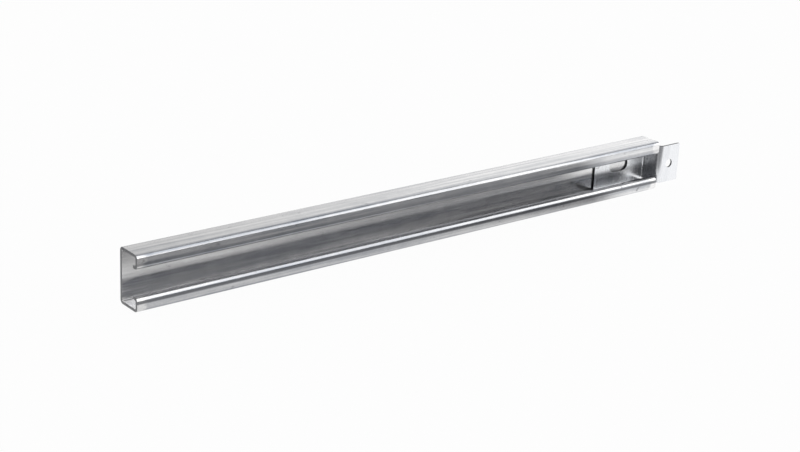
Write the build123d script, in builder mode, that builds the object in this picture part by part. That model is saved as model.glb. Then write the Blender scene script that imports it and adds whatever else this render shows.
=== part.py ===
"""C-profile rail: a roll-formed, zinc-coated channel with a folded end bracket in its right end.

Millimetres. X runs along the rail, the slot between the lips faces -Y, the web stands at +Y and
Z points up. The origin is the middle of the lower flange's face, halfway along the rail.
"""
from build123d import *
import os

# Rail section
rail_length = 490.0
rail_height = 41.0
rail_depth = 22.0
rail_wall = 2.0
rail_corner_radius = 3.0
lip_height = 10.5
lip_return = 5.2
lip_edge_radius = 3.0

# Bracket sheet and folds
bracket_wall = 1.5
tray_length = 56.0
tray_fold_radius = 2.2
end_fold_radius = 3.0
flange_fold_radius = 5.0
relief_gap = 2.5
flange_length = 22.5
flange_corner_radius = 1.0

# Slot in the tray's floor and hole in the flange
slot_length = 20.5
slot_width = 11.0
slot_from_tray_start = 27.0
hole_diameter = 7.0
hole_from_end_wall = 11.5

# How the bracket sits in the rail
tray_clearance = 0.5
lip_clearance = 0.8
end_clearance = 2.4
flange_setback = 0.6

# Faces of the rail that the bracket is placed by
rail_end = rail_length / 2
lip_face = -rail_depth / 2
web_back = rail_depth / 2
web_inside = web_back - rail_wall
mid_height = rail_height / 2

# Bracket places that follow from the rail and the clearances
tray_foot = rail_wall + tray_clearance
tray_top = rail_height - tray_foot
tray_tip = lip_face + rail_wall + lip_clearance
flange_foot = tray_foot + tray_fold_radius
flange_height = rail_height - 2 * flange_foot
flange_back = lip_face + flange_setback + bracket_wall
end_wall_inside = rail_end + end_clearance
end_wall_outside = end_wall_inside + bracket_wall
tray_start = end_wall_inside - tray_length
tray_end = end_wall_inside - relief_gap
flange_end = end_wall_inside + flange_length
slot_middle = tray_start + slot_from_tray_start
hole_middle = end_wall_inside + hole_from_end_wall


def folded_sheet(points, radii, wall):
    """Outline of a folded sheet: a filleted skin line closed with its parallel to the right."""
    with BuildSketch(mode=Mode.PRIVATE) as outline:
        with BuildLine():
            FilletPolyline(*points, radius=radii)
            offset(amount=wall, side=Side.RIGHT)
        make_face()
    return outline.sketch


with BuildPart() as c_rail:
    # The skin runs from the upper lip's turned-in edge round the web to the lower one.
    with BuildSketch(Plane.YZ.offset(-rail_end)):
        add(
            folded_sheet(
                [
                    (lip_face + lip_return, rail_height - lip_height),
                    (lip_face, rail_height - lip_height),
                    (lip_face, rail_height),
                    (web_back, rail_height),
                    (web_back, 0),
                    (lip_face, 0),
                    (lip_face, lip_height),
                    (lip_face + lip_return, lip_height),
                ],
                [lip_edge_radius, *[rail_corner_radius] * 4, lip_edge_radius],
                rail_wall,
            )
        )
    extrude(amount=rail_length)

with BuildPart() as end_bracket:
    # The tray: a floor on the web with a wall in each pocket behind the lips.
    with BuildSketch(Plane.YZ.offset(tray_start)):
        add(
            folded_sheet(
                [
                    (tray_tip, tray_top),
                    (web_inside, tray_top),
                    (web_inside, tray_foot),
                    (tray_tip, tray_foot),
                ],
                tray_fold_radius,
                bracket_wall,
            )
        )
    extrude(amount=tray_end - tray_start)
    # Between the walls' folds the floor runs on, folds forward as the end wall and outward as the flange.
    with BuildSketch(Plane.XY.offset(flange_foot)):
        add(
            folded_sheet(
                [
                    (tray_end, web_inside),
                    (end_wall_outside, web_inside),
                    (end_wall_outside, flange_back),
                    (flange_end, flange_back),
                ],
                [end_fold_radius, flange_fold_radius - bracket_wall],
                bracket_wall,
            )
        )
    extrude(amount=flange_height)
    flange_corners = end_bracket.edges().filter_by(Axis.Y).group_by(Axis.X)[-1]
    fillet(flange_corners, flange_corner_radius)
    # Slotted hole for a bolt through the tray's floor.
    with BuildSketch(Plane.XZ.offset(-web_inside)):
        with Locations((slot_middle, mid_height)):
            SlotOverall(slot_length, slot_width)
    extrude(amount=bracket_wall, mode=Mode.SUBTRACT)
    # Round hole through the flange.
    with BuildSketch(Plane.XZ.offset(-flange_back)):
        with Locations((hole_middle, mid_height)):
            Circle(hole_diameter / 2)
    extrude(amount=bracket_wall, mode=Mode.SUBTRACT)

os.makedirs("parts", exist_ok=True)
c_rail.part.label = "c_rail"
export_step(c_rail.part, "parts/c_rail.step")
end_bracket.part.label = "end_bracket"
export_step(end_bracket.part, "parts/end_bracket.step")
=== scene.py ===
"""Dresses the zinc-coated C-profile rail and its folded end bracket, on a plain pale floor.

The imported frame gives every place. Sizes that belong to the sheet itself are the rail maker's, in
millimetres, and MM turns them into metres.
"""
import logging
import math
from collections.abc import Callable, Iterable, Sequence
from dataclasses import dataclass, field
from enum import Enum
from functools import partial
from typing import Union

import bpy
from mathutils import Matrix, Vector


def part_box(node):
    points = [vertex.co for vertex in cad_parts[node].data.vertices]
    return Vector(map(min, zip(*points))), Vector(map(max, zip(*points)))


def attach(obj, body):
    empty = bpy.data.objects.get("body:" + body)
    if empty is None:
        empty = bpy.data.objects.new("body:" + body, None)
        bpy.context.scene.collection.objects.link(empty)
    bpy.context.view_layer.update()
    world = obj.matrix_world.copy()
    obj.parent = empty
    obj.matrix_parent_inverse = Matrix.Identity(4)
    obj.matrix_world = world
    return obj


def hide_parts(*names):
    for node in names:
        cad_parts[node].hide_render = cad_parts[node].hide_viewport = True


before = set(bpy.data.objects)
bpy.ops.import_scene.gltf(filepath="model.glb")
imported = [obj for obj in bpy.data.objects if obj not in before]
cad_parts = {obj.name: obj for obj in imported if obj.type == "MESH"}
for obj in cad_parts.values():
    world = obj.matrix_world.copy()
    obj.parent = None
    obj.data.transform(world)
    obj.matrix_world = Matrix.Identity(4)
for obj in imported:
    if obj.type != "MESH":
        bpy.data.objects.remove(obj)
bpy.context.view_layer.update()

MM = 0.001
# Two places closer than this, in metres, are the same place.
NEAR = 0.00002
# Points closer than this, in metres, are welded into one.
WELD = NEAR / 10
# How far a bump of strength 1 pushes the surface, in metres.
BUMP_DEPTH = 0.0002
# A Mix node's colour sockets go by number, because it has other sockets of the same names.
MIX_FACTOR, MIX_LOW, MIX_HIGH, MIX_RESULT = 0, 6, 7, 2

Point = tuple[float, float, float]
Colour = tuple[float, float, float]
Span = tuple[float, float]
Term = Union[bpy.types.NodeSocket, float, Point]
EdgeTest = Callable[[Vector, Vector], bool]
FaceChoice = Callable[[bpy.types.MeshPolygon], int]

WHITE: Colour = (1.0, 1.0, 1.0)
logging.basicConfig(level=logging.INFO, format="%(name)s: %(message)s")
log = logging.getLogger("rail_scene")


class RollDirection(Enum):
    """Which way the mill's rolling lines run on a piece."""

    ALONG_RAIL = "X"
    ACROSS_RAIL = "Z"


class NodeSheet:
    """A small bench for wiring nodes in one tree."""

    def __init__(self, tree: bpy.types.NodeTree) -> None:
        """Keep the tree that nodes are added to."""
        self.tree = tree

    def add(self, kind: str, **settings: object) -> bpy.types.Node:
        """Add a node.

        Args:
            kind: The node's Blender type name.
            **settings: Attributes to set on it.

        Returns:
            The new node.
        """
        node = self.tree.nodes.new(kind)
        for name, value in settings.items():
            setattr(node, name, value)
        return node

    def link(self, source: bpy.types.NodeSocket, target: bpy.types.NodeSocket) -> None:
        """Join an output to an input."""
        self.tree.links.new(source, target)

    def feed(self, slot: bpy.types.NodeSocket, term: Term) -> None:
        """Give an input its value.

        Args:
            slot: The input.
            term: A socket to join to it, a number, or three numbers for a place or a colour.
        """
        if isinstance(term, bpy.types.NodeSocket):
            self.link(term, slot)
        elif slot.type == "RGBA":
            slot.default_value = (*term, 1.0)
        else:
            slot.default_value = term

    def fill(self, node: bpy.types.Node, terms: dict[str, Term]) -> None:
        """Feed several inputs of a node by name."""
        for name, term in terms.items():
            self.feed(node.inputs[name], term)

    def math(self, operation: str, *terms: Term) -> bpy.types.NodeSocket:
        """Add a Math node.

        Args:
            operation: The Math node's operation.
            *terms: Sockets or numbers, in input order.

        Returns:
            The node's output socket.
        """
        node = self.add("ShaderNodeMath", operation=operation)
        for slot, term in zip(node.inputs, terms):
            self.feed(slot, term)
        return node.outputs[0]

    def product(self, *factors: Term) -> bpy.types.NodeSocket:
        """Multiply sockets and numbers.

        Args:
            *factors: The factors; a single one has to be a socket.

        Returns:
            The product's socket.
        """
        result, *others = factors
        for factor in others:
            result = self.math("MULTIPLY", result, factor)
        return result

    def between(self, factor: bpy.types.NodeSocket, low: float, high: float) -> bpy.types.NodeSocket:
        """Go from one number to another as a factor goes from 0 to 1."""
        return self.math("MULTIPLY_ADD", factor, high - low, low)

    def ramp(self, value: bpy.types.NodeSocket, span: Span) -> bpy.types.NodeSocket:
        """Stretch a span over 0 to 1, with soft ends.

        Args:
            value: The socket to stretch.
            span: The values that become 0 and 1.

        Returns:
            The stretched value's socket.
        """
        node = self.add("ShaderNodeMapRange", interpolation_type="SMOOTHSTEP")
        self.fill(node, {"Value": value, "From Min": span[0], "From Max": span[1]})
        return node.outputs["Result"]

    def mask(self, *limits: tuple[bpy.types.NodeSocket, Span], unit: float = 1.0) -> bpy.types.NodeSocket:
        """Multiply the ramps of several values.

        Args:
            *limits: Pairs of a value's socket and its span.
            unit: What one unit of the spans is worth in the sockets' unit.

        Returns:
            A socket that is 1 where every value is past its span, and 0 where one hasn't reached it.
        """
        return self.product(*(self.ramp(value, (low * unit, high * unit)) for value, (low, high) in limits))

    def blend(self, factor: Term, low: Term, high: Term) -> bpy.types.NodeSocket:
        """Mix two colours by a factor.

        Args:
            factor: Socket or number, 0 for low and 1 for high.
            low: Colour or socket at 0.
            high: Colour or socket at 1.

        Returns:
            The mixed colour's socket.
        """
        node = self.add("ShaderNodeMix", data_type="RGBA")
        for number, term in ((MIX_FACTOR, factor), (MIX_LOW, low), (MIX_HIGH, high)):
            self.feed(node.inputs[number], term)
        return node.outputs[MIX_RESULT]

    def noise(self, position: bpy.types.NodeSocket, detail: float, rough: float) -> bpy.types.NodeSocket:
        """Add a noise texture of unit scale.

        Args:
            position: Vector socket that the noise is read at.
            detail: Octaves of the noise.
            rough: How much the finer octaves weigh.

        Returns:
            The noise value's socket.
        """
        node = self.add("ShaderNodeTexNoise")
        self.fill(node, {"Vector": position, "Scale": 1.0, "Detail": detail, "Roughness": rough})
        return node.outputs["Fac"]

    def scaled(self, position: bpy.types.NodeSocket, factors: Term) -> bpy.types.NodeSocket:
        """Scale a vector along each axis.

        Args:
            position: Vector socket.
            factors: Vector socket or three numbers.

        Returns:
            The scaled vector's socket.
        """
        node = self.add("ShaderNodeVectorMath", operation="MULTIPLY")
        self.feed(node.inputs[0], position)
        self.feed(node.inputs[1], factors)
        return node.outputs[0]

    def axes(self, vector: bpy.types.NodeSocket) -> tuple[bpy.types.NodeSocket, ...]:
        """Split a vector.

        Args:
            vector: The vector's socket.

        Returns:
            Its X, Y and Z sockets.
        """
        node = self.add("ShaderNodeSeparateXYZ")
        self.link(vector, node.inputs[0])
        return tuple(node.outputs)

    def ray(self, kind: str) -> bpy.types.NodeSocket:
        """Give the socket that is 1 on one kind of ray, such as Camera."""
        return self.add("ShaderNodeLightPath").outputs[f"Is {kind} Ray"]


class MaterialBench(NodeSheet):
    """The bench of a new material, with its Principled shader and its piece's own coordinates."""

    def __init__(self, name: str) -> None:
        """Start the material.

        Args:
            name: The material's name.
        """
        self.made = bpy.data.materials.new(name)
        self.made.use_nodes = True
        super().__init__(self.made.node_tree)
        self.shader = self.tree.nodes["Principled BSDF"]
        self.position = self.add("ShaderNodeTexCoord").outputs["Object"]

    def bump(self, height: bpy.types.NodeSocket, strength: float) -> None:
        """Press a pattern into the surface.

        Args:
            height: The pattern's socket.
            strength: Strength of the bump.
        """
        node = self.add("ShaderNodeBump")
        self.fill(node, {"Strength": strength, "Distance": BUMP_DEPTH, "Height": height})
        self.link(node.outputs[0], self.shader.inputs["Normal"])


class EffectGroup:
    """A shader node group with named sockets, built once and placed in materials."""

    def __init__(self, name: str, inputs: dict[str, Term], outputs: Iterable[str]) -> None:
        """Make the group's sockets, with a Position input before the named ones.

        Args:
            name: The group's name.
            inputs: Default of each further input; three numbers make a vector.
            outputs: Names of the value outputs.
        """
        self.tree = bpy.data.node_groups.new(name, "ShaderNodeTree")
        self.bench = NodeSheet(self.tree)
        for label, default in {"Position": (0.0, 0.0, 0.0), **inputs}.items():
            kind = "NodeSocketVector" if isinstance(default, tuple) else "NodeSocketFloat"
            made = self.tree.interface.new_socket(name=label, in_out="INPUT", socket_type=kind)
            made.default_value = default
        for label in outputs:
            self.tree.interface.new_socket(name=label, in_out="OUTPUT", socket_type="NodeSocketFloat")
        self.inside = self.bench.add("NodeGroupInput").outputs
        self.result = self.bench.add("NodeGroupOutput").inputs

    def spread(self, rate: str) -> bpy.types.NodeSocket:
        """Scale the group's position by one of its other inputs.

        Args:
            rate: The input's name, in repeats a metre.

        Returns:
            The scaled position's socket.
        """
        node = self.bench.add("ShaderNodeVectorMath", operation="SCALE")
        self.bench.link(self.inside["Position"], node.inputs[0])
        self.bench.link(self.inside[rate], node.inputs["Scale"])
        return node.outputs[0]

    def put_out(self, **results: bpy.types.NodeSocket) -> None:
        """Join sockets to the group's outputs of the same names."""
        for name, socket in results.items():
            self.bench.link(socket, self.result[name.capitalize()])

    def place(self, bench: MaterialBench, **values: Term) -> bpy.types.Node:
        """Put the group into a material, on the piece's own coordinates.

        Args:
            bench: The material's bench.
            **values: Other inputs, with underscores for spaces.

        Returns:
            The group's node.
        """
        node = bench.add("ShaderNodeGroup", node_tree=self.tree)
        bench.link(bench.position, node.inputs["Position"])
        bench.fill(node, {name.replace("_", " ").capitalize(): value for name, value in values.items()})
        return node


@dataclass(frozen=True)
class RollingLines:
    """Fine lines that rolling leaves in the zinc, at two widths."""

    octaves: float = 2.0
    rough: float = 0.5
    broad_share: float = 0.35
    fine_span: Span = (0.3, 0.7)
    broad_span: Span = (0.32, 0.68)

    def build(self) -> EffectGroup:
        """Make the group.

        Returns:
            The group, whose Stretch input holds how many lines fit in a metre along each axis.
        """
        group = EffectGroup("rolling_lines", {"Stretch": (1.0, 1.0, 1.0)}, ("Fine", "Broad"))
        bench, position, stretch = group.bench, group.inside["Position"], group.inside["Stretch"]
        wide = bench.scaled(stretch, (self.broad_share, self.broad_share, self.broad_share))
        fine = bench.noise(bench.scaled(position, stretch), self.octaves, self.rough)
        broad = bench.noise(bench.scaled(position, wide), self.octaves, self.rough)
        group.put_out(fine=bench.ramp(fine, self.fine_span), broad=bench.ramp(broad, self.broad_span))
        return group


@dataclass(frozen=True)
class ZincPatches:
    """Cloudy patches and faint crystals of the zinc coat."""

    octaves: float = 4.0
    rough: float = 0.55
    cloud_span: Span = (0.34, 0.66)
    crystals_in_patch: float = 2.6

    def build(self) -> EffectGroup:
        """Make the group.

        Returns:
            The group, whose Patch rate input is in patches a metre.
        """
        group = EffectGroup("zinc_patches", {"Patch rate": 60.0}, ("Clouds", "Crystals"))
        bench = group.bench
        spread = group.spread("Patch rate")
        clouds = bench.noise(spread, self.octaves, self.rough)
        cells = bench.add("ShaderNodeTexVoronoi", feature="F1")
        bench.fill(cells, {"Vector": spread, "Scale": self.crystals_in_patch})
        tone = bench.add("ShaderNodeSeparateColor")
        bench.link(cells.outputs["Color"], tone.inputs["Color"])
        group.put_out(clouds=bench.ramp(clouds, self.cloud_span), crystals=tone.outputs[0])
        return group


@dataclass(frozen=True)
class ShopMarks:
    """Sparse specks and rubbed spots from handling."""

    octaves: float = 5.0
    rough: float = 0.7
    speck_span: Span = (0.63, 0.70)

    def build(self) -> EffectGroup:
        """Make the group.

        Returns:
            The group, whose Mark rate input is in marks a metre.
        """
        group = EffectGroup("shop_marks", {"Mark rate": 90.0}, ("Marks",))
        specks = group.bench.noise(group.spread("Mark rate"), self.octaves, self.rough)
        group.put_out(marks=group.bench.ramp(specks, self.speck_span))
        return group


@dataclass(frozen=True)
class SectionTone:
    """Broad tones that follow the rail's shape: painted sheen on the crowned flanges, painted shade in the
    folds and pockets, rubbed ends with painted light near them, and painted light on the web's middle.

    Places and lengths are in millimetres. A span gives where a tone is 0 and where it is full. A rise
    counts up or down from mid height, a face is a place along Y, a level along Z and a run along X.
    """

    crown_middle: float = 1.0
    crown_reach: float = 11.0
    shoulder_start: Span = (10.0, 16.0)
    shoulder_stop: Span = (20.0, 17.5)
    bend_rise: Span = (12.4, 11.2)
    bend_face: Span = (-7.8, -8.6)
    crest_level: Span = (20.0, 15.0)
    upper_bend_level: Span = (26.0, 30.0)
    upper_bend_depth: float = 0.4
    strip_start: Span = (12.0, 13.0)
    strip_stop: Span = (15.2, 14.0)
    strip_face: Span = (-9.5, -10.6)
    strip_level: Span = (30.0, 12.0)
    strip_depths: Span = (0.3, 1.0)
    slit_rise: Span = (10.4, 10.1)
    slit_front: Span = (-8.6, -7.8)
    slit_back: Span = (-5.0, -5.5)
    web_face: Span = (6.0, 8.5)
    web_rise: Span = (5.0, 1.0)
    outer_face: Span = (10.3, 9.7)
    outer_rise: Span = (20.3, 19.0)
    pocket_rise: Span = (13.3, 14.8)
    pocket_face: Span = (-9.9, -9.3)
    pocket_run: Span = (-80.0, 120.0)
    pocket_depth: float = 0.45
    ripple_rates: Point = (60.0, 350.0, 350.0)
    ripple_octaves: float = 3.0
    ripple_rough: float = 0.6
    ripple_reach: float = 8.0
    # Rubbed ends and the painted light on the web near them reach as far as these spans.
    rubbed_and_lit_level: Span = (13.0, 19.0)
    rubbed_and_lit_shift: Span = (6.0, -6.0)
    rubbed_and_lit_run: Span = (4.8, -1.2)
    rail: tuple[Vector, Vector] = field(default_factory=lambda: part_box("c_rail"))

    def build(self) -> EffectGroup:
        """Make the group.

        Returns:
            The group, whose inputs are the rail's places in metres and whose outputs are 1 at full tone.
        """
        low, high = self.rail
        inputs = {
            "Crown middle": self.crown_middle * MM,
            "Crown reach": self.crown_reach * MM,
            "Mid height": (low.z + high.z) / 2,
            "Half length": (high.x - low.x) / 2,
        }
        group = EffectGroup("section_tone", inputs, ("Crown", "Edge", "End", "Fold", "Web"))
        bench, inside = group.bench, group.inside
        mask = partial(bench.mask, unit=MM)
        x, y, z = bench.axes(inside["Position"])
        rise = bench.math("ABSOLUTE", bench.math("SUBTRACT", z, inside["Mid height"]))
        in_front = mask((y, self.outer_face))
        in_web = bench.product(mask((y, self.web_face)), in_front)
        off_outside = bench.product(in_front, mask((rise, self.outer_rise)))
        bend = mask((rise, self.bend_rise), (y, self.bend_face))

        # Painted sheen: the crown is highest at its middle and falls off to 0 like a parabola.
        off_middle = bench.math("SUBTRACT", y, inside["Crown middle"])
        share = bench.math("DIVIDE", off_middle, inside["Crown reach"])
        crown = bench.math("MAXIMUM", bench.math("SUBTRACT", 1.0, bench.product(share, share)), 0.0)

        # Painted highlight: the lips' shoulders and the crest of the lower lip's bend are lighter.
        shoulder = mask((rise, self.shoulder_start), (rise, self.shoulder_stop))
        edge = bench.math("MAXIMUM", shoulder, bench.product(bend, mask((z, self.crest_level))))

        # Painted shade darkens a strip on each lip, the slit edges, the upper bend and the pockets.
        strip = mask((rise, self.strip_start), (rise, self.strip_stop))
        deeper = bench.between(mask((z, self.strip_level)), *self.strip_depths)
        on_lip = bench.product(strip, bench.product(deeper, mask((y, self.strip_face))))
        at_slit = mask((rise, self.slit_rise), (y, self.slit_front), (y, self.slit_back))
        on_bend = bench.product(mask((z, self.upper_bend_level)), self.upper_bend_depth, bend)
        pocket = mask((rise, self.pocket_rise), (y, self.pocket_face))
        # Painted shade in the pockets, deeper towards the bracket.
        far_pocket_shade = bench.product(mask((x, self.pocket_run)), self.pocket_depth)
        fold = on_lip
        for painted_shade in (at_slit, on_bend, bench.product(pocket, off_outside, far_pocket_shade)):
            fold = bench.math("MAXIMUM", fold, painted_shade)

        # The ends are rubbed, and the web near them is painted lighter, up to a ragged line
        # which lies further in on the web's upper half.
        ripple = bench.noise(
            bench.scaled(inside["Position"], self.ripple_rates), self.ripple_octaves, self.ripple_rough
        )
        shift = bench.between(mask((z, self.rubbed_and_lit_level)), *(move * MM for move in self.rubbed_and_lit_shift))
        from_end = bench.math("SUBTRACT", inside["Half length"], bench.math("ABSOLUTE", x))
        from_line = bench.math("MULTIPLY_ADD", in_web, shift, from_end)
        ragged = bench.math("MULTIPLY_ADD", ripple, -self.ripple_reach * MM, from_line)
        end = bench.product(mask((ragged, self.rubbed_and_lit_run)), off_outside)

        # Painted light: the web's middle band is lighter.
        web = bench.product(in_web, mask((rise, self.web_rise)))
        group.put_out(crown=crown, edge=edge, end=end, fold=fold, web=web)
        return group


@dataclass(frozen=True)
class Effects:
    """The effect groups that the finishes share."""

    lines: EffectGroup = field(default_factory=lambda: RollingLines().build())
    patches: EffectGroup = field(default_factory=lambda: ZincPatches().build())
    marks: EffectGroup = field(default_factory=lambda: ShopMarks().build())
    section: EffectGroup = field(default_factory=lambda: SectionTone().build())


@dataclass(frozen=True)
class ZincFinish:
    """Zinc-coated sheet as it leaves the mill, with rolling lines along one axis."""

    name: str
    roll: RollDirection
    light: Colour
    metallic: float
    roughness: float
    roughness_swing: float
    bump: float
    plain_tone: float
    broad_tone: float
    fine_tone: float
    section_tones: tuple[tuple[str, float], ...] = ()
    # How far the painted shade darkens the folds and pockets.
    fold_shade_depth: float = 0.0
    dark: Colour = (0.31, 0.332, 0.375)
    # Colour of the painted shade in the folds and pockets.
    painted_shade: Colour = (0.12, 0.125, 0.14)
    mark: Colour = (0.2, 0.2, 0.21)
    mark_depth: float = 0.5
    cloud_tone: float = 0.1
    cloud_share_of_swing: float = 0.5
    crystal_tone: float = 0.05
    anisotropy: float = 0.6
    line_rate: float = 700.0
    line_stretch: float = 0.02
    patch_rate: float = 70.0
    mark_rate: float = 120.0

    def stretch(self) -> Point:
        """Give how many lines fit in a metre along each axis.

        Returns:
            The rates along X, Y and Z, with the lowest along the roll.
        """
        long_way = self.line_rate * self.line_stretch
        if self.roll is RollDirection.ALONG_RAIL:
            return (long_way, self.line_rate, self.line_rate)
        return (self.line_rate, self.line_rate, long_way)

    def coat(self, bench: MaterialBench, effects: Effects, lines: bpy.types.Node,
             patches: bpy.types.Node) -> bpy.types.NodeSocket:
        """Colour the zinc, with painted light from the section tones and painted shade in the folds where
        they apply.

        Args:
            bench: The material's bench.
            effects: The shared effect groups.
            lines: The rolling lines' node.
            patches: The zinc patches' node.

        Returns:
            The colour's socket.
        """
        section = effects.section.place(bench) if self.section_tones else None
        tone = self.plain_tone
        for output, weight in (
            (lines.outputs["Broad"], self.broad_tone),
            *((section.outputs[name], weight) for name, weight in self.section_tones),
            (patches.outputs["Clouds"], self.cloud_tone),
            (lines.outputs["Fine"], self.fine_tone),
            (patches.outputs["Crystals"], self.crystal_tone),
        ):
            tone = bench.math("MULTIPLY_ADD", output, weight, tone)
        coated = bench.blend(tone, self.dark, self.light)
        if section is None:
            return coated
        # Painted shade: the Fold mask darkens the colour towards the shade colour.
        return bench.blend(bench.product(section.outputs["Fold"], self.fold_shade_depth), coated, self.painted_shade)

    def material(self, effects: Effects) -> bpy.types.Material:
        """Build the material.

        Args:
            effects: The shared effect groups.

        Returns:
            The finished material.
        """
        bench = MaterialBench(self.name)
        lines = effects.lines.place(bench, stretch=self.stretch())
        patches = effects.patches.place(bench, patch_rate=self.patch_rate)
        marks = effects.marks.place(bench, mark_rate=self.mark_rate)
        marked = bench.product(marks.outputs["Marks"], self.mark_depth)
        colour = bench.blend(marked, self.coat(bench, effects, lines, patches), self.mark)
        cloud_swing = self.roughness_swing * self.cloud_share_of_swing
        rough = bench.math("MULTIPLY_ADD", lines.outputs["Fine"], self.roughness_swing, self.roughness)
        rough = bench.math("MULTIPLY_ADD", patches.outputs["Clouds"], cloud_swing, rough)
        tangent = bench.add("ShaderNodeTangent", direction_type="RADIAL", axis=self.roll.value)
        bench.fill(bench.shader, {
            "Base Color": colour,
            "Roughness": rough,
            "Metallic": self.metallic,
            "Anisotropic": self.anisotropy,
            "Tangent": tangent.outputs[0],
        })
        bench.bump(lines.outputs["Fine"], self.bump)
        return bench.made


@dataclass(frozen=True)
class CutEdgeFinish:
    """Bare steel where the sheet was cut, rough and darker than the zinc."""

    name: str
    dark: Colour
    light: Colour
    line_rates: Point = (900.0, 2600.0, 2600.0)
    patch_rate: float = 400.0
    fine_tone: float = 0.6
    cloud_tone: float = 0.4
    roughness: float = 0.45
    roughness_swing: float = 0.2
    metallic: float = 1.0
    bump: float = 0.25

    def material(self, effects: Effects) -> bpy.types.Material:
        """Build the material.

        Args:
            effects: The shared effect groups.

        Returns:
            The finished material.
        """
        bench = MaterialBench(self.name)
        lines = effects.lines.place(bench, stretch=self.line_rates)
        patches = effects.patches.place(bench, patch_rate=self.patch_rate)
        clouds = bench.product(patches.outputs["Clouds"], self.cloud_tone)
        tone = bench.math("MULTIPLY_ADD", lines.outputs["Fine"], self.fine_tone, clouds)
        bench.fill(bench.shader, {
            "Base Color": bench.blend(tone, self.dark, self.light),
            "Roughness": bench.math("MULTIPLY_ADD", tone, self.roughness_swing, self.roughness),
            "Metallic": self.metallic,
        })
        bench.bump(lines.outputs["Fine"], self.bump)
        return bench.made


# The rail's section tones paint sheen (Crown), highlights (Edge), light near the rubbed ends (End) and on
# the web (Web), and shade in the folds.
RAIL_ZINC = ZincFinish(
    "rail_zinc", RollDirection.ALONG_RAIL, light=(0.94, 0.935, 0.935), metallic=0.76, roughness=0.14,
    roughness_swing=0.08, bump=0.05, plain_tone=-0.06, broad_tone=0.46, fine_tone=0.20,
    section_tones=(("Crown", 0.50), ("Edge", 0.22), ("End", 0.80), ("Web", 0.55)), fold_shade_depth=0.85,
)
BRACKET_ZINC = ZincFinish(
    "bracket_zinc", RollDirection.ACROSS_RAIL, light=(0.91, 0.922, 0.945), metallic=0.85, roughness=0.20,
    roughness_swing=0.06, bump=0.035, plain_tone=0.74, broad_tone=0.14, fine_tone=0.24,
)
SAWN_EDGE = CutEdgeFinish("sawn_steel_edge", dark=(0.18, 0.182, 0.19), light=(0.46, 0.465, 0.475))
# Bare steel on the sheared edges, painted near black as painted shade for the gaps beside them.
SHEARED_EDGE_AND_SHADE = CutEdgeFinish("sheared_edge_and_shade", dark=(0.035, 0.036, 0.04), light=(0.11, 0.112, 0.12))


def near(value: float, target: float) -> bool:
    """Tell whether two lengths in metres are the same place."""
    return abs(value - target) < NEAR


def both_at(a: Vector, b: Vector, **places: float) -> bool:
    """Tell whether both ends of an edge have the given coordinates, such as z=0.041."""
    return all(near(getattr(end, axis), place) for end in (a, b) for axis, place in places.items())


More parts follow.
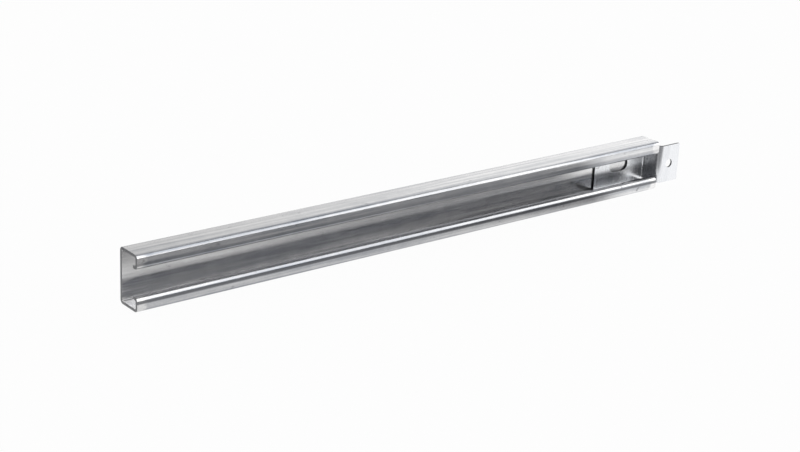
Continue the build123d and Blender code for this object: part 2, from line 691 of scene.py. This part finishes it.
class SheetWork:
    """A sheet-metal bench: one plate, folded, thickened and cut with Blender's own operators."""

    BREAK_STEPS = 2
    BREAK_ANGLE = math.radians(40)
    SMOOTH_ANGLE = math.radians(32)

    def __init__(self, name: str, low: Point, high: Point) -> None:
        """Start from a flat plate.

        Args:
            name: The piece's name.
            low: Lowest corner of the plate, in metres; it has no depth along Y.
            high: Highest corner.
        """
        bpy.ops.object.select_all(action="DESELECT")
        middle = (Vector(low) + Vector(high)) / 2
        size = Vector(high) - Vector(low)
        bpy.ops.mesh.primitive_plane_add(size=1, location=middle, rotation=(math.pi / 2, 0, 0))
        self.piece = bpy.context.object
        self.piece.name = name
        self.piece.data.name = name
        self.piece.scale = (size.x, size.z, 1)
        bpy.ops.object.transform_apply(location=True, rotation=True, scale=True)

    def pick(self, test: EdgeTest) -> None:
        """Select the edges whose two ends pass a test, and leave the piece in edit mode.

        Args:
            test: Takes the places of an edge's two ends.
        """
        bpy.ops.object.mode_set(mode="EDIT")
        bpy.ops.mesh.select_mode(type="EDGE")
        bpy.ops.mesh.select_all(action="DESELECT")
        bpy.ops.object.mode_set(mode="OBJECT")
        mesh = self.piece.data
        for edge in mesh.edges:
            a, b = (mesh.vertices[i].co for i in edge.vertices)
            edge.select = test(a, b)
        bpy.ops.object.mode_set(mode="EDIT")

    def pull(self, test: EdgeTest, move: Point) -> None:
        """Extrude the chosen edges by a move.

        Args:
            test: As in pick.
            move: The move, in metres.
        """
        self.pick(test)
        bpy.ops.mesh.extrude_region_move(TRANSFORM_OT_translate={"value": move})
        bpy.ops.object.mode_set(mode="OBJECT")

    def round_edges(self, test: EdgeTest, radius: float, steps: int) -> None:
        """Turn sharp folds into round bends.

        Args:
            test: As in pick.
            radius: Bend radius of the drawn skin, in metres.
            steps: Flats in each bend.
        """
        self.pick(test)
        bpy.ops.mesh.bevel(offset=radius, offset_type="OFFSET", segments=steps, profile=0.5, affect="EDGES")
        bpy.ops.mesh.select_all(action="SELECT")
        bpy.ops.mesh.remove_doubles(threshold=WELD)
        bpy.ops.object.mode_set(mode="OBJECT")

    def finish_mesh(self) -> None:
        """Weld and turn every face outwards before the sheet gets its thickness."""
        bpy.ops.object.mode_set(mode="EDIT")
        bpy.ops.mesh.select_all(action="SELECT")
        bpy.ops.mesh.remove_doubles(threshold=WELD)
        bpy.ops.mesh.normals_make_consistent(inside=False)
        bpy.ops.object.mode_set(mode="OBJECT")

    def apply(self, kind: str, **settings: object) -> None:
        """Add a modifier and apply it.

        Args:
            kind: The modifier's Blender type name.
            **settings: Attributes to set on it.
        """
        bpy.context.view_layer.objects.active = self.piece
        modifier = self.piece.modifiers.new(kind.lower(), kind)
        for name, value in settings.items():
            setattr(modifier, name, value)
        bpy.ops.object.modifier_apply(modifier=modifier.name)

    def thicken(self, wall: float, outward: Vector) -> None:
        """Give the skin its wall on the inner side.

        Args:
            wall: Sheet thickness, in metres.
            outward: Direction in which the first plate's outer side faces.
        """
        self.finish_mesh()
        first = max(self.piece.data.polygons, key=lambda face: face.area)
        if first.normal.dot(outward) < 0:
            self.piece.data.flip_normals()
        self.apply("SOLIDIFY", thickness=wall, offset=-1.0, use_even_offset=True)

    def cut(self, cutter: bpy.types.Object) -> None:
        """Cut a solid out of the sheet and remove it."""
        self.apply("BOOLEAN", object=cutter, operation="DIFFERENCE", solver="EXACT")
        bpy.data.objects.remove(cutter)

    def break_edges(self, width: float) -> None:
        """Take the sharpness off every edge.

        Args:
            width: Width of the break, in metres.
        """
        limits = {"limit_method": "ANGLE", "angle_limit": self.BREAK_ANGLE}
        self.apply("BEVEL", width=width, segments=self.BREAK_STEPS, **limits)
        bpy.ops.object.select_all(action="DESELECT")
        self.piece.select_set(True)
        bpy.ops.object.shade_smooth_by_angle(angle=self.SMOOTH_ANGLE)
        # Large faces keep their own normals, so that the flats reflect as flats up to the broken edges.
        self.apply("WEIGHTED_NORMAL", mode="FACE_AREA", weight=50, keep_sharp=True)

    def dress(self, materials: Sequence[bpy.types.Material], choose: FaceChoice) -> None:
        """Give each face its material.

        Args:
            materials: The piece's materials, in slot order.
            choose: Gives the slot's number for a face.
        """
        for material in materials:
            self.piece.data.materials.append(material)
        for face in self.piece.data.polygons:
            face.material_index = choose(face)


@dataclass
class Rail:
    """The roll-formed C profile, drawn along its outer skin."""

    wall: float = 2.0 * MM
    corner_radius: float = 3.0 * MM
    lip_height: float = 10.5 * MM
    lip_return: float = 5.2 * MM
    edge_break: float = 0.12 * MM
    bend_steps: int = 10
    # A face whose normal has more than this along X or Y can belong to a cut.
    cut_slope: float = 0.35
    low: Vector = field(default_factory=lambda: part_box("c_rail")[0])
    high: Vector = field(default_factory=lambda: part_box("c_rail")[1])

    def fold(self) -> SheetWork:
        """Fold the plate round the channel.

        Returns:
            The bench with the skin on it.
        """
        low, high = self.low, self.high
        work = SheetWork("galvanised_rail", (low.x, high.y, low.z), (high.x, high.y, high.z))
        for level, inward in ((high.z, -1), (low.z, 1)):
            lip_end = level + inward * self.lip_height
            work.pull(lambda a, b: both_at(a, b, y=high.y, z=level), (0, low.y - high.y, 0))
            work.pull(lambda a, b: both_at(a, b, y=low.y, z=level), (0, 0, inward * self.lip_height))
            work.pull(lambda a, b: both_at(a, b, z=lip_end), (0, self.lip_return, 0))
        return work

    def is_fold(self, a: Vector, b: Vector) -> bool:
        """Tell whether an edge runs the rail's length at one of the six folds."""
        along = near(a.y, b.y) and near(a.z, b.z)
        return along and (near(a.y, self.high.y) or near(a.y, self.low.y))

    def is_cut(self, face: bpy.types.MeshPolygon) -> int:
        """Find the sawn ends and the slit edges of the turned-in lips.

        Args:
            face: A face of the finished rail.

        Returns:
            1 for a cut face and 0 for a coated one, as the materials stand on the piece.
        """
        sawn = abs(face.normal.x) > self.cut_slope
        tip = self.low.y + self.lip_return
        slit = face.normal.y > self.cut_slope and abs(face.center.y - tip) < self.edge_break
        return int(sawn or slit)

    def build(self, zinc: bpy.types.Material, bare: bpy.types.Material) -> bpy.types.Object:
        """Make the rail.

        Args:
            zinc: Finish of the coated faces.
            bare: Finish of the cut edges.

        Returns:
            The finished piece.
        """
        work = self.fold()
        work.round_edges(self.is_fold, self.corner_radius, self.bend_steps)
        work.thicken(self.wall, Vector((0, 1, 0)))
        work.break_edges(self.edge_break)
        work.dress((zinc, bare), self.is_cut)
        return work.piece


@dataclass
class EndBracket:
    """The folded bracket: a tray, an end wall and a flange, drawn along its outer skin."""

    wall: float = 1.5 * MM
    tray_fold: float = 2.2 * MM
    end_fold: float = 3.0 * MM
    flange_fold: float = 5.0 * MM
    relief_gap: float = 2.5 * MM
    flange_length: float = 22.5 * MM
    side_wall_height: float = 17.2 * MM
    corner_radius: float = 1.0 * MM
    slot_length: float = 20.5 * MM
    slot_width: float = 11.0 * MM
    slot_from_start: float = 27.0 * MM
    # Nearer to the end wall than this, no face is taken for the slot's.
    slot_off_end_wall: float = 6.0 * MM
    hole_diameter: float = 7.0 * MM
    hole_from_end_wall: float = 11.5 * MM
    edge_break: float = 0.12 * MM
    bend_steps: int = 10
    punch_sides: int = 60
    punch_depth_in_walls: int = 6
    # How far a normal has to lean along an axis to tell a sheared face from the sheet's own.
    cut_slope: float = 0.6
    # A face of a hole's wall or of its broken edge has less than this of its normal along Y.
    sheet_slope: float = 0.9
    low: Vector = field(default_factory=lambda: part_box("end_bracket")[0])
    high: Vector = field(default_factory=lambda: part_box("end_bracket")[1])
    end_wall_inside: float = field(init=False)
    end_wall_outside: float = field(init=False)
    tray_end: float = field(init=False)
    flange_back: float = field(init=False)
    middle: float = field(init=False)

    def __post_init__(self) -> None:
        """Work out the places that the folds share."""
        self.end_wall_inside = self.high.x - self.flange_length
        self.end_wall_outside = self.end_wall_inside + self.wall
        self.tray_end = self.end_wall_inside - self.relief_gap
        self.flange_back = self.low.y + self.wall
        self.middle = (self.low.z + self.high.z) / 2

    def fold(self) -> SheetWork:
        """Fold the tray, the end wall and the flange.

        Returns:
            The bench with the skin on it.
        """
        low, high = self.low, self.high
        inner = (low.z + self.tray_fold, high.z - self.tray_fold)
        work = SheetWork("folded_bracket", (low.x, high.y, inner[0]), (self.tray_end, high.y, inner[1]))
        for start, side in zip(inner, (-1, 1)):
            outer = start + side * self.tray_fold
            work.pull(lambda a, b: both_at(a, b, z=start), (0, 0, side * self.tray_fold))
            work.pull(lambda a, b: both_at(a, b, z=outer), (0, -self.side_wall_height, 0))
        work.pull(self.at_neck, (self.end_wall_outside - self.tray_end, 0, 0))
        work.pull(self.at_end_fold, (0, self.flange_back - high.y, 0))
        work.pull(self.at_flange_fold, (high.x - self.end_wall_outside, 0, 0))
        return work

    def at_neck(self, a: Vector, b: Vector) -> bool:
        """Tell whether an edge is the tray floor's end between the side walls' folds."""
        return both_at(a, b, x=self.tray_end) and near((a.z + b.z) / 2, self.middle)

    def at_end_fold(self, a: Vector, b: Vector) -> bool:
        """Tell whether an edge is the fold between the tray's floor and the end wall."""
        return both_at(a, b, x=self.end_wall_outside, y=self.high.y)

    def at_flange_fold(self, a: Vector, b: Vector) -> bool:
        """Tell whether an edge is the fold between the end wall and the flange."""
        return both_at(a, b, x=self.end_wall_outside, y=self.flange_back)

    def at_side_fold(self, a: Vector, b: Vector) -> bool:
        """Tell whether an edge is a fold between the tray's floor and a side wall."""
        return any(both_at(a, b, y=self.high.y, z=level) for level in (self.low.z, self.high.z))

    def at_flange_corner(self, a: Vector, b: Vector) -> bool:
        """Tell whether an edge is one of the flange's two free corners, once it has its wall."""
        return both_at(a, b, x=self.high.x) and near(a.z, b.z)

    def punch(self, radius: float, centre: Point) -> bpy.types.Object:
        """Model a round punch along Y.

        Args:
            radius: The punch's radius, in metres.
            centre: Its middle.

        Returns:
            The punch.
        """
        bpy.ops.object.select_all(action="DESELECT")
        bpy.ops.mesh.primitive_cylinder_add(
            vertices=self.punch_sides, radius=radius, depth=self.punch_depth_in_walls * self.wall,
            location=centre, rotation=(math.pi / 2, 0, 0)
        )
        punch = bpy.context.object
        # With half a side's turn, no corner lies on the line at which the slot's punch is pulled apart.
        punch.rotation_euler.rotate_axis("Z", math.pi / self.punch_sides)
        bpy.ops.object.transform_apply(location=True, rotation=True, scale=True)
        return punch

    def slot_cutter(self) -> bpy.types.Object:
        """Model the slotted hole's punch from a round one pulled apart along X.

        Returns:
            The punch.
        """
        reach = (self.slot_length - self.slot_width) / 2
        centre = (self.low.x + self.slot_from_start, self.high.y, self.middle)
        punch = self.punch(self.slot_width / 2, centre)
        for vertex in punch.data.vertices:
            vertex.co.x += math.copysign(reach, vertex.co.x - centre[0])
        return punch

    def is_cut(self, face: bpy.types.MeshPolygon) -> int:
        """Find the sheared edges of the blank and the walls of its holes.

        Args:
            face: A face of the finished bracket.

        Returns:
            1 for a cut face and 0 for a coated one, as the materials stand on the piece.
        """
        low, high, c, n = self.low, self.high, face.center, face.normal
        tray_start = c.x < low.x + self.edge_break
        flange_end = c.x > high.x - 2 * self.corner_radius and abs(n.y) < self.cut_slope
        wall_tip = c.x < self.tray_end and c.y < high.y - self.side_wall_height + self.edge_break
        wall_end = c.x < self.tray_end + NEAR and n.x > self.cut_slope
        side = c.x > self.tray_end and abs(n.z) > self.cut_slope
        from_hole = math.hypot(c.x - self.end_wall_inside - self.hole_from_end_wall, c.z - self.middle)
        near_hole = from_hole < self.hole_diameter / 2 + self.edge_break
        in_tray = c.x < self.end_wall_inside - self.slot_off_end_wall
        near_slot = in_tray and abs(c.z - self.middle) <= self.slot_width / 2 + self.edge_break
        in_hole = abs(n.y) < self.sheet_slope and (near_hole or near_slot)
        return int(tray_start or flange_end or wall_tip or wall_end or side or in_hole)

    def build(self, zinc: bpy.types.Material, bare: bpy.types.Material) -> bpy.types.Object:
        """Make the bracket.

        Args:
            zinc: Finish of the coated faces.
            bare: Finish of the cut edges.

        Returns:
            The finished piece.
        """
        work = self.fold()
        work.round_edges(self.at_side_fold, self.tray_fold, self.bend_steps)
        work.round_edges(self.at_end_fold, self.end_fold, self.bend_steps)
        work.round_edges(self.at_flange_fold, self.flange_fold - self.wall, self.bend_steps)
        work.thicken(self.wall, Vector((0, 1, 0)))
        work.round_edges(self.at_flange_corner, self.corner_radius, self.bend_steps // 2)
        work.cut(self.slot_cutter())
        hole_place = (self.end_wall_inside + self.hole_from_end_wall, self.low.y, self.middle)
        work.cut(self.punch(self.hole_diameter / 2, hole_place))
        work.break_edges(self.edge_break)
        work.dress((zinc, bare), self.is_cut)
        return work.piece


@dataclass
class Studio:
    """Camera, floor and soft light.

    Places and spans on the floor are in metres. Those of the room are parts of a direction of length 1.
    """

    camera_place: Point = (-0.79700, -0.95686, 0.47232)
    azimuth: float = 39.241
    pitch: float = 20.340
    roll: float = 2.942
    focal_pixels: float = 1780.0
    frame_width: float = 800.0
    sensor_width: float = 36.0
    clip: Span = (0.05, 50.0)
    floor_size: float = 12.0
    floor_grey: Colour = (0.86, 0.86, 0.86)
    floor_roughness: float = 0.9
    floor_shine: float = 0.1
    floor_white: float = 0.97
    near_tone: Colour = (0.78, 0.78, 0.78)
    right_tone: Colour = (1.12, 1.12, 1.12)
    behind_tone: Colour = (0.50, 0.50, 0.505)
    front_shade: Colour = (0.27, 0.27, 0.275)
    far_shade: Colour = (0.08, 0.08, 0.085)
    behind_span: Span = (0.03, 0.09)
    shade_span: Span = (-0.040, -0.018)
    shade_slant: float = 0.10
    far_span: Span = (-0.26, -0.13)
    shade_right: Span = (0.192, 0.234)
    right_slant: float = 0.7
    right_slant_start: float = -0.037
    right_span: Span = (0.40, 0.78)
    back_span: Span = (-0.15, 0.30)
    low_left_x: Span = (0.30, -0.10)
    low_left_z: Span = (0.35, 0.15)
    box_x: Span = (0.33, 0.43)
    box_y: Span = (-0.12, -0.24)
    box_z: Span = (0.06, 0.16)
    front_left: Colour = (0.06, 0.06, 0.065)
    front_right: Colour = (0.20, 0.20, 0.21)
    back_left: Colour = (0.60, 0.60, 0.60)
    back_right: Colour = (1.16, 1.16, 1.16)
    low_left: Colour = (0.20, 0.20, 0.205)
    soft_box: Colour = (1.9, 1.9, 1.9)

    def add_camera(self) -> None:
        """Set the camera at the photograph's viewing angle."""
        camera = bpy.data.cameras.new("view")
        camera.sensor_fit = "HORIZONTAL"
        camera.sensor_width = self.sensor_width
        camera.lens = self.focal_pixels * self.sensor_width / self.frame_width
        camera.clip_start, camera.clip_end = self.clip
        turn, rise, tilt = (math.radians(angle) for angle in (self.azimuth, self.pitch, self.roll))
        back = Vector((-math.sin(turn) * math.cos(rise), -math.cos(turn) * math.cos(rise), math.sin(rise)))
        right = (-back).cross(Vector((0, 0, 1))).normalized()
        up = right.cross(-back)
        tilted_right = right * math.cos(tilt) + up * math.sin(tilt)
        tilted_up = up * math.cos(tilt) - right * math.sin(tilt)
        holder = bpy.data.objects.new("view", camera)
        bpy.context.scene.collection.objects.link(holder)
        facing = Matrix((tilted_right, tilted_up, back)).transposed().to_4x4()
        holder.matrix_world = Matrix.Translation(self.camera_place) @ facing
        bpy.context.scene.camera = holder

    def add_floor(self) -> None:
        """Lay a floor that is white to the camera, is toned for the metal and keeps a faint shadow."""
        bpy.ops.object.select_all(action="DESELECT")
        bpy.ops.mesh.primitive_plane_add(size=self.floor_size, location=(0, 0, 0))
        floor = bpy.context.object
        floor.name = "floor"
        bench = MaterialBench("white_floor")
        bench.fill(bench.shader, {
            "Base Color": self.floor_grey,
            "Roughness": self.floor_roughness,
            "Specular IOR Level": self.floor_shine,
        })
        white = bench.add("ShaderNodeEmission")
        bench.link(self.floor_tone(bench), white.inputs["Color"])
        mixed = bench.add("ShaderNodeMixShader")
        seen = bench.product(self.is_seen(bench), self.floor_white)
        for slot, source in zip(mixed.inputs, (seen, bench.shader.outputs[0], white.outputs[0])):
            bench.link(source, slot)
        bench.link(mixed.outputs[0], bench.tree.nodes["Material Output"].inputs["Surface"])
        floor.data.materials.append(bench.made)

    def floor_tone(self, bench: MaterialBench) -> bpy.types.NodeSocket:
        """Keep the floor white to the camera, and let the metal see it darken in front of the rail.

        Args:
            bench: The floor material's bench.

        Returns:
            The colour's socket.
        """
        # Painted shade and light that only the metal sees: the floor darkens in front of the rail, is
        # greyer behind it and brighter than white at the right.
        x, y, _ = bench.axes(bench.position)
        line = bench.math("MULTIPLY_ADD", x, -self.shade_slant, y)
        past_start = bench.math("SUBTRACT", y, self.right_slant_start)
        slant = bench.math("MULTIPLY_ADD", past_start, self.right_slant, x)
        shade = bench.blend(bench.ramp(y, self.far_span), self.far_shade, self.front_shade)
        beside = bench.blend(bench.ramp(y, self.behind_span), self.near_tone, self.behind_tone)
        around = bench.blend(bench.ramp(line, self.shade_span), shade, beside)
        in_metal = bench.blend(bench.ramp(slant, self.shade_right), around, self.right_tone)
        return bench.blend(bench.ray("Camera"), in_metal, WHITE)

    def is_seen(self, bench: MaterialBench) -> bpy.types.NodeSocket:
        """Tell the rays that carry the floor to the eye from those that light the object.

        Args:
            bench: The floor material's bench.

        Returns:
            A socket that is 1 on camera, glossy and transmission rays.
        """
        either = bench.math("MAXIMUM", bench.ray("Camera"), bench.ray("Glossy"))
        return bench.math("MAXIMUM", either, bench.ray("Transmission"))

    def add_world(self) -> None:
        """Light the room by direction, with a soft box at the front right, and show white to the camera."""
        world = bpy.data.worlds.new("room")
        bpy.context.scene.world = world
        world.use_nodes = True
        bench = NodeSheet(world.node_tree)
        x, y, z = bench.axes(bench.add("ShaderNodeTexCoord").outputs["Generated"])
        from_right = bench.ramp(x, self.right_span)
        front = bench.blend(from_right, self.front_left, self.front_right)
        back = bench.blend(from_right, self.back_left, self.back_right)
        room = bench.blend(bench.ramp(y, self.back_span), front, back)
        at_low_left = bench.mask((x, self.low_left_x), (z, self.low_left_z))
        room = bench.blend(at_low_left, room, self.low_left)
        in_box = bench.mask((x, self.box_x), (y, self.box_y), (z, self.box_z))
        room = bench.blend(in_box, room, self.soft_box)
        shown = bench.blend(bench.ray("Camera"), room, WHITE)
        bench.fill(world.node_tree.nodes["Background"], {"Color": shown, "Strength": 1.0})

    def build(self) -> None:
        """Set up the camera, the floor and the light."""
        bpy.context.scene.view_settings.view_transform = "Standard"
        self.add_camera()
        self.add_floor()
        self.add_world()


def main() -> None:
    """Build the pieces in order and report each one."""
    effects = Effects()
    sawn = SAWN_EDGE.material(effects)
    sheared = SHEARED_EDGE_AND_SHADE.material(effects)
    rail_zinc = RAIL_ZINC.material(effects)
    bracket_zinc = BRACKET_ZINC.material(effects)
    for part, node, slot, zinc, bare in (
        (Rail(), "c_rail", "rail_zinc", rail_zinc, sawn),
        (EndBracket(), "end_bracket", "bracket_zinc", bracket_zinc, sheared),
    ):
        piece = part.build(zinc, bare)
        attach(piece, "root")
        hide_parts(node)
        log.info("%s: %d faces, replaces %s", piece.name, len(piece.data.polygons), node)
    Studio().build()
    log.info("camera, floor and light are in place")


if __name__ == "__main__":
    main()
